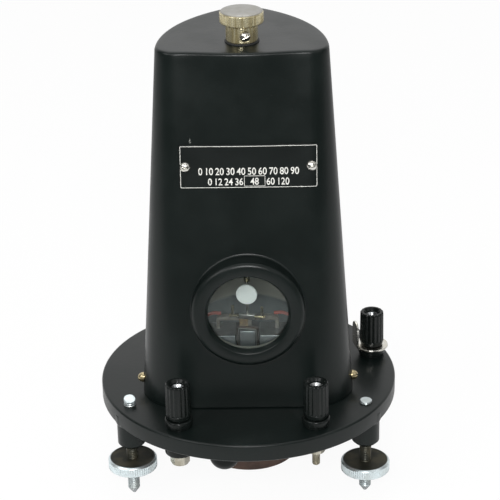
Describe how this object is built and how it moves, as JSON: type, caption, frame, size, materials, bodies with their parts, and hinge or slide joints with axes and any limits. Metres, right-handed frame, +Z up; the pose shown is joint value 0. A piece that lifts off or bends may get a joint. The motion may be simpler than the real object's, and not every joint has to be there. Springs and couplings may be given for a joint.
{
  "type": "ballistic galvanometer",
  "caption": "Mirror galvanometer with a suspended coil in a tapered black housing on a round base with levelling screws, terminal posts and a torsion head.",
  "frame": {"origin": "on the bench, under the middle of the instrument's plan; the suspension axis is 2.4 mm in front of it", "axes": "+Z up along the suspension, -Y to the window at the front, +X to the right as seen from the front"},
  "size_m": [0.15, 0.1548, 0.2433],
  "materials": {
    "satin_black_paint": "satin black stoving enamel on cast metal, lightly mottled",
    "plate_black": "flat black plate with a thin pale border line",
    "black_moulded": "glossy black moulded terminal parts",
    "nickel_plate": "dull nickel plate, slightly yellowed",
    "lacquered_brass": "aged brass",
    "bright_steel": "ground steel",
    "dark_iron": "machined soft iron with a blue-grey skin",
    "brown_paint": "matt red-brown paint",
    "plain_aluminium": "plain aluminium, dull",
    "copper_wire": "enamelled copper wire",
    "resin_board": "brown resin-bonded board",
    "mirror_silver": "front-silvered glass mirror",
    "window_glass": "clear flat glass",
    "black_rubber": "dull black rubber",
    "red_sleeving": "dull red cotton sleeving"
  },
  "bodies": {
    "instrument": {"base_plate": "satin_black_paint", "housing_cover": "satin_black_paint", "window_ring": "satin_black_paint", "window_glass": "window_glass", "name_plate": "plate_black", "name_plate_screw_left": "nickel_plate", "name_plate_screw_right": "nickel_plate", "torsion_collar": "nickel_plate", "cover_screw_left": "lacquered_brass", "cover_screw_right": "lacquered_brass", "collar_nut": "lacquered_brass", "core_bridge": "lacquered_brass", "collar_washer": "black_rubber", "pole_left": "dark_iron", "pole_right": "dark_iron", "iron_core": "dark_iron", "magnet_left": "bright_steel", "magnet_right": "bright_steel", "lead_left": "red_sleeving", "lead_right": "red_sleeving", "magnet_yoke": "brown_paint", "magnet_clamp_ring": "plain_aluminium", "damping_resistor": "black_moulded", "terminal_left_stud": "nickel_plate", "terminal_left_nut": "nickel_plate", "terminal_left_collar": "black_moulded", "terminal_left_bush": "black_moulded", "terminal_right_stud": "nickel_plate", "terminal_right_nut": "nickel_plate", "terminal_right_collar": "black_moulded", "terminal_right_bush": "black_moulded", "terminal_rear_stud": "nickel_plate", "terminal_rear_nut": "nickel_plate", "terminal_rear_collar": "black_moulded", "terminal_rear_bush": "black_moulded"},
    "torsion_head": {"torsion_head": "nickel_plate"},
    "torsion_clamp_screw": {"torsion_clamp_screw": "nickel_plate"},
    "moving_coil": {"suspension_strip": "lacquered_brass", "strip_ferrule": "lacquered_brass", "mirror": "mirror_silver", "mirror_stem": "nickel_plate", "inertia_bar": "lacquered_brass", "bar_hub": "plain_aluminium", "coil_tab": "resin_board", "coil_former": "plain_aluminium", "coil_winding": "copper_wire", "lower_spring": "copper_wire"},
    "terminal_tag": {"terminal_tag": "nickel_plate"},
    "terminal_left_lift": {"terminal_left_insert": "nickel_plate"},
    "terminal_left_cap": {"terminal_left_cap": "black_moulded"},
    "terminal_right_lift": {"terminal_right_insert": "nickel_plate"},
    "terminal_right_cap": {"terminal_right_cap": "black_moulded"},
    "terminal_rear_lift": {"terminal_rear_insert": "nickel_plate"},
    "terminal_rear_cap": {"terminal_rear_cap": "black_moulded"},
    "level_left_lift": {"levelling_point_left": "bright_steel"},
    "level_left_screw": {"levelling_screw_left": "nickel_plate"},
    "level_right_lift": {"levelling_point_right": "bright_steel"},
    "level_right_screw": {"levelling_screw_right": "nickel_plate"},
    "level_rear_lift": {"levelling_point_rear": "bright_steel"},
    "level_rear_screw": {"levelling_screw_rear": "nickel_plate"}
  },
  "joints": [
    {"name": "torsion_head_turn", "type": "hinge", "parent": "instrument", "child": "torsion_head", "pos_m": [0, -0.0024, 0.236], "axis": [0, 0, 1], "range_deg": [-180, 180]},
    {"name": "torsion_clamp_screw_turn", "type": "hinge", "parent": "instrument", "child": "torsion_clamp_screw", "pos_m": [0.0017, -0.0099, 0.2319], "axis": [0.2215, -0.9751, 0], "range_deg": [0, 180]},
    {"name": "coil_swing", "type": "hinge", "parent": "instrument", "child": "moving_coil", "pos_m": [0, -0.0024, 0.0948], "axis": [0, 0, 1], "range_deg": [-4, 20], "stiffness_Nm_per_rad": 0.000001},
    {"name": "terminal_tag_turn", "type": "hinge", "parent": "instrument", "child": "terminal_tag", "pos_m": [0.06402, 0.0156, 0.0551], "axis": [0, 0, 1], "range_deg": [-90, 90]},
    {"name": "terminal_left_rise", "type": "slide", "parent": "instrument", "child": "terminal_left_lift", "axis": [0, 0, 1], "range_m": [0, 0.0042]},
    {"name": "terminal_left_turn", "type": "hinge", "parent": "terminal_left_lift", "child": "terminal_left_cap", "pos_m": [-0.0333, -0.0574, 0.0652], "axis": [0, 0, 1], "range_deg": [0, 2160]},
    {"name": "terminal_right_rise", "type": "slide", "parent": "instrument", "child": "terminal_right_lift", "axis": [0, 0, 1], "range_m": [0, 0.0042]},
    {"name": "terminal_right_turn", "type": "hinge", "parent": "terminal_right_lift", "child": "terminal_right_cap", "pos_m": [0.0333, -0.0574, 0.0652], "axis": [0, 0, 1], "range_deg": [0, 2160]},
    {"name": "terminal_rear_rise", "type": "slide", "parent": "instrument", "child": "terminal_rear_lift", "axis": [0, 0, 1], "range_m": [0, 0.0042]},
    {"name": "terminal_rear_turn", "type": "hinge", "parent": "terminal_rear_lift", "child": "terminal_rear_cap", "pos_m": [0.06402, 0.0156, 0.0652], "axis": [0, 0, 1], "range_deg": [0, 2160]},
    {"name": "level_left_rise", "type": "slide", "parent": "instrument", "child": "level_left_lift", "axis": [0, 0, 1], "range_m": [-0.007, 0.007]},
    {"name": "level_left_turn", "type": "hinge", "parent": "level_left_lift", "child": "level_left_screw", "pos_m": [-0.05854, -0.0362, 0.0152], "axis": [0, 0, 1], "range_deg": [-2520, 2520]},
    {"name": "level_right_rise", "type": "slide", "parent": "instrument", "child": "level_right_lift", "axis": [0, 0, 1], "range_m": [-0.007, 0.007]},
    {"name": "level_right_turn", "type": "hinge", "parent": "level_right_lift", "child": "level_right_screw", "pos_m": [0.05854, -0.0362, 0.0152], "axis": [0, 0, 1], "range_deg": [-2520, 2520]},
    {"name": "level_rear_rise", "type": "slide", "parent": "instrument", "child": "level_rear_lift", "axis": [0, 0, 1], "range_m": [-0.007, 0.007]},
    {"name": "level_rear_turn", "type": "hinge", "parent": "level_rear_lift", "child": "level_rear_screw", "pos_m": [0, 0.0652, 0.0152], "axis": [0, 0, 1], "range_deg": [-2520, 2520]}
  ],
  "couplings": [
    {"joint": "terminal_left_turn", "follows": "terminal_left_rise", "rad_per_m": 8976},
    {"joint": "terminal_right_turn", "follows": "terminal_right_rise", "rad_per_m": 8976},
    {"joint": "terminal_rear_turn", "follows": "terminal_rear_rise", "rad_per_m": 8976},
    {"joint": "level_left_turn", "follows": "level_left_rise", "rad_per_m": 6283.2},
    {"joint": "level_right_turn", "follows": "level_right_rise", "rad_per_m": 6283.2},
    {"joint": "level_rear_turn", "follows": "level_rear_rise", "rad_per_m": 6283.2}
  ]
}
